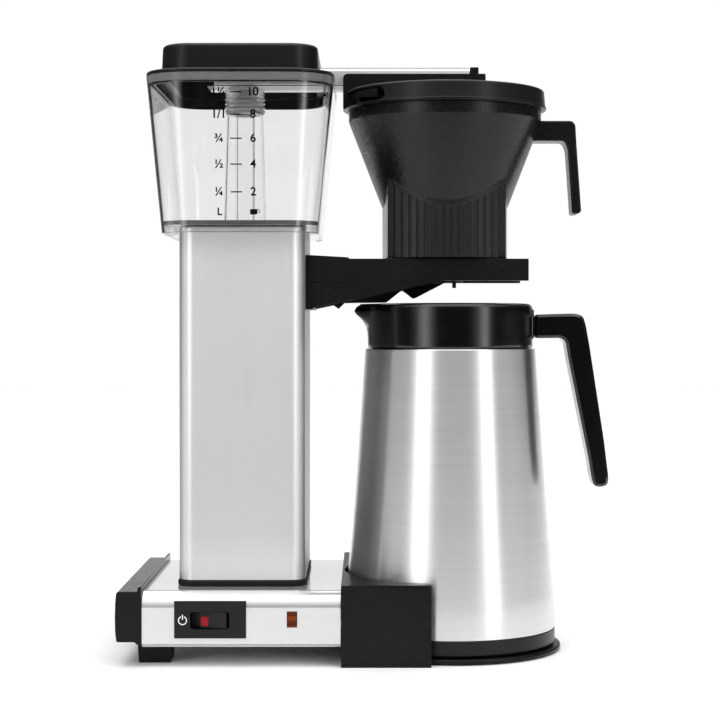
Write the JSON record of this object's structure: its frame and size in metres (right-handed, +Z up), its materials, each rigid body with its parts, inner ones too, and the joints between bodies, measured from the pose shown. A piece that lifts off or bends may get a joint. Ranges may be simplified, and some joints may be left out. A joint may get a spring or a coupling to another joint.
{
  "type": "drip coffee maker",
  "caption": "Tower drip coffee maker: clear water tank on an aluminium tower, slide-in brew basket under a steel outlet arm, and a steel carafe on its holder.",
  "frame": {"origin": "on the table under the middle of the machine's bounding box", "axes": "+X to the right from the tank towards the carafe, +Z up, the front with the switch faces -Y"},
  "size_m": [0.3154, 0.17, 0.3904],
  "materials": {
    "polished_aluminium": "polished",
    "brushed_steel": "brushed",
    "sheet_steel": "satin",
    "black_plastic": "satin",
    "gloss_black_plastic": "gloss",
    "clear_plastic": "clear",
    "riser_glass": "clear",
    "rubber": "matte",
    "silicone": "satin",
    "copper": "satin",
    "ceramic": "matte",
    "amber_lens": "gloss",
    "lamp_glass": "clear",
    "switch_black": "satin"
  },
  "bodies": {
    "machine": {"arm_end_plug": "black_plastic", "base_housing": "polished_aluminium", "base_plate": "sheet_steel", "base_screw_1": "sheet_steel", "base_screw_2": "sheet_steel", "base_screw_3": "sheet_steel", "base_screw_4": "sheet_steel", "basket_bracket": "black_plastic", "boiler_tube": "copper", "bracket_screw_1": "sheet_steel", "bracket_screw_2": "sheet_steel", "carafe_holder": "black_plastic", "check_valve": "gloss_black_plastic", "cold_water_hose": "silicone", "cord_gland": "rubber", "foot_front_left": "rubber", "foot_rear_left": "rubber", "heating_element": "sheet_steel", "indicator_lamp": "lamp_glass", "indicator_lens": "amber_lens", "inlet_seal": "silicone", "left_end_cap": "black_plastic", "lever_pin": "sheet_steel", "lever_spring": "sheet_steel", "outlet_arm": "brushed_steel", "riser_connector": "clear_plastic", "riser_hose": "silicone", "riser_tube": "riser_glass", "switch_body": "gloss_black_plastic", "switch_panel": "switch_black", "terminal_block": "ceramic", "thermal_fuse": "copper", "thermostat": "sheet_steel", "tower_gasket": "rubber", "tower_housing": "polished_aluminium", "tower_top": "black_plastic", "water_tank": "clear_plastic"},
    "power_switch": {"power_rocker": "switch_black"},
    "tank_cover": {"tank_lid": "black_plastic"},
    "basket": {"brew_basket": "black_plastic", "basket_lid": "black_plastic"},
    "valve": {"drip_valve": "black_plastic", "valve_seal": "silicone", "valve_spring": "sheet_steel"},
    "lever": {"drip_lever": "black_plastic"},
    "carafe": {"carafe_shell": "brushed_steel", "carafe_liner": "brushed_steel", "carafe_base": "black_plastic", "carafe_collar": "gloss_black_plastic", "carafe_handle": "gloss_black_plastic", "handle_screw": "sheet_steel"},
    "carafe_stopper": {"carafe_lid": "gloss_black_plastic", "lid_gasket": "silicone", "mixing_tube": "black_plastic"}
  },
  "joints": [
    {"name": "power_rocker_tilt", "type": "hinge", "parent": "machine", "child": "power_switch", "pos_m": [-0.1002, -0.0766, 0.0293], "axis": [0, 0, 1], "range_deg": [0, 12]},
    {"name": "tank_lid_lift", "type": "slide", "parent": "machine", "child": "tank_cover", "axis": [0, 0, 1], "range_m": [0, 0.12]},
    {"name": "basket_slide", "type": "slide", "parent": "machine", "child": "basket", "axis": [1, 0, 0], "range_m": [0, 0.15]},
    {"name": "valve_lift", "type": "slide", "parent": "basket", "child": "valve", "axis": [0, 0, 1], "range_m": [0, 0.0034]},
    {"name": "drip_lever_lift", "type": "hinge", "parent": "machine", "child": "lever", "pos_m": [-0.028, -0.008, 0.233], "axis": [0, -1, 0], "range_deg": [0, 2.5], "stiffness_Nm_per_rad": 0.3, "springref_deg": -11.46},
    {"name": "carafe_slide", "type": "slide", "parent": "machine", "child": "carafe", "axis": [1, 0, 0], "range_m": [0, 0.18]},
    {"name": "carafe_lid_turn", "type": "hinge", "parent": "carafe", "child": "carafe_stopper", "pos_m": [0.0525, -0.008, 0.2245], "axis": [0, 0, 1], "range_deg": [0, 90]}
  ],
  "couplings": [
    {"joint": "valve_lift", "follows": "drip_lever_lift", "m_per_rad": 0.077}
  ]
}
